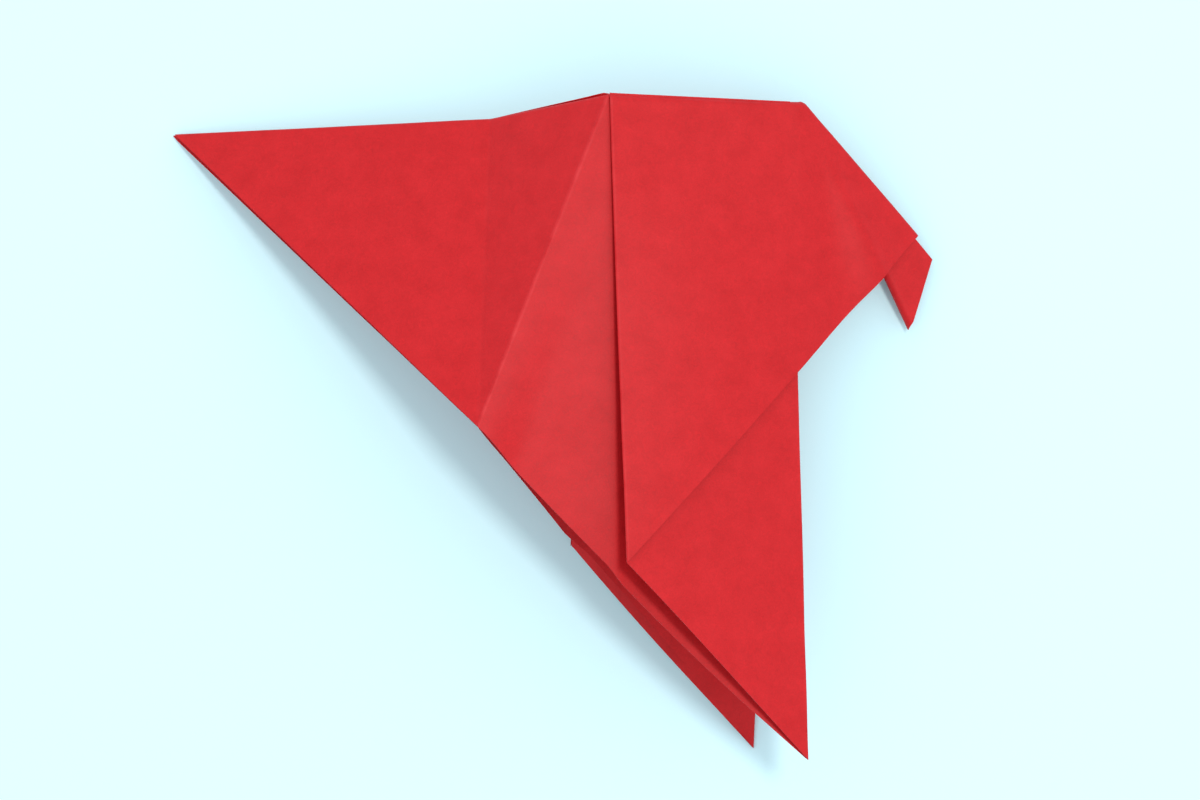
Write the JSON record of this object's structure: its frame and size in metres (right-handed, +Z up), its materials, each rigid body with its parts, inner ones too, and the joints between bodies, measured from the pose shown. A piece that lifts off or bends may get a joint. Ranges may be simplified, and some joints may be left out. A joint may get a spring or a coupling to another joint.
{
  "type": "folded paper bird",
  "caption": "Bird folded from one square sheet of red paper, lying on its side, with hinged creases at its spine, pleat, tail and beak.",
  "frame": {"origin": "on the ground under the middle of the bird's box, as it lies on its side", "axes": "+X from tail to beak, +Y from the wing tips towards the spine, +Z up, out of the near half"},
  "size_m": [0.1246, 0.106, 0.0295],
  "materials": {
    "paper": "matt red paper, the same colour on both faces"
  },
  "bodies": {
    "far_body": {"far_wing_root": "paper", "far_wing": "paper", "far_pleat": "paper", "far_neck": "paper", "far_head": "paper", "far_brow": "paper"},
    "far_gusset": {"far_gusset": "paper"},
    "far_tail": {"far_tail": "paper"},
    "near_body": {"near_wing_root": "paper", "near_wing": "paper"},
    "near_gusset": {"near_gusset": "paper"},
    "near_tail": {"near_tail": "paper"},
    "near_pleat": {"near_pleat": "paper"},
    "near_neck": {"near_neck": "paper", "near_head": "paper", "near_brow": "paper"},
    "beak": {"near_head_tuck": "paper", "near_beak_tuck": "paper", "near_beak": "paper", "far_head_tuck": "paper", "far_beak_tuck": "paper", "far_beak": "paper"}
  },
  "joints": [
    {"name": "spine_fold", "type": "hinge", "parent": "far_body", "child": "near_body", "pos_m": [0.009, 0.0534, 0.01048], "axis": [-0.995, -0.0735, -0.0675], "range_deg": [0, 20], "stiffness_Nm_per_rad": 0.004},
    {"name": "beak_fold", "type": "hinge", "parent": "far_body", "child": "beak", "pos_m": [0.009, 0.0534, 0.01048], "axis": [-0.995, -0.0735, -0.0675], "range_deg": [0, 10], "stiffness_Nm_per_rad": 0.002},
    {"name": "far_gusset_fold", "type": "hinge", "parent": "far_body", "child": "far_gusset", "pos_m": [0.0088, 0.053, 0.01942], "axis": [-0.3517, -0.9241, 0.1499], "range_deg": [-15, 4], "stiffness_Nm_per_rad": 0.03},
    {"name": "far_tail_fold", "type": "hinge", "parent": "far_gusset", "child": "far_tail", "pos_m": [-0.01012, 0.04947, 0.00898], "axis": [0.0238, 0.9331, -0.3589], "range_deg": [-5, 5], "stiffness_Nm_per_rad": 0.03},
    {"name": "near_gusset_fold", "type": "hinge", "parent": "near_body", "child": "near_gusset", "pos_m": [0.0092, 0.05301, 0.02054], "axis": [-0.3589, -0.9218, 0.1464], "range_deg": [-15, 4], "stiffness_Nm_per_rad": 0.03},
    {"name": "near_tail_fold", "type": "hinge", "parent": "near_gusset", "child": "near_tail", "pos_m": [-0.01001, 0.04984, 0.01052], "axis": [0.0263, 0.9374, -0.3473], "range_deg": [-5, 5], "stiffness_Nm_per_rad": 0.03},
    {"name": "near_pleat_fold", "type": "hinge", "parent": "near_body", "child": "near_pleat", "pos_m": [0.03861, 0.05253, 0.01042], "axis": [-0.0215, 0.9938, -0.1095], "range_deg": [0, 12], "stiffness_Nm_per_rad": 0.004},
    {"name": "near_neck_fold", "type": "hinge", "parent": "near_pleat", "child": "near_neck", "pos_m": [0.00947, 0.0531, 0.02129], "axis": [-0.0215, 0.9938, -0.1095], "range_deg": [-12, 0], "stiffness_Nm_per_rad": 0.004}
  ],
  "couplings": [
    {"joint": "beak_fold", "follows": "spine_fold", "ratio": 0.5},
    {"joint": "near_gusset_fold", "follows": "far_gusset_fold", "ratio": 1},
    {"joint": "near_tail_fold", "follows": "far_tail_fold", "ratio": 1},
    {"joint": "near_neck_fold", "follows": "near_pleat_fold", "ratio": -1}
  ]
}
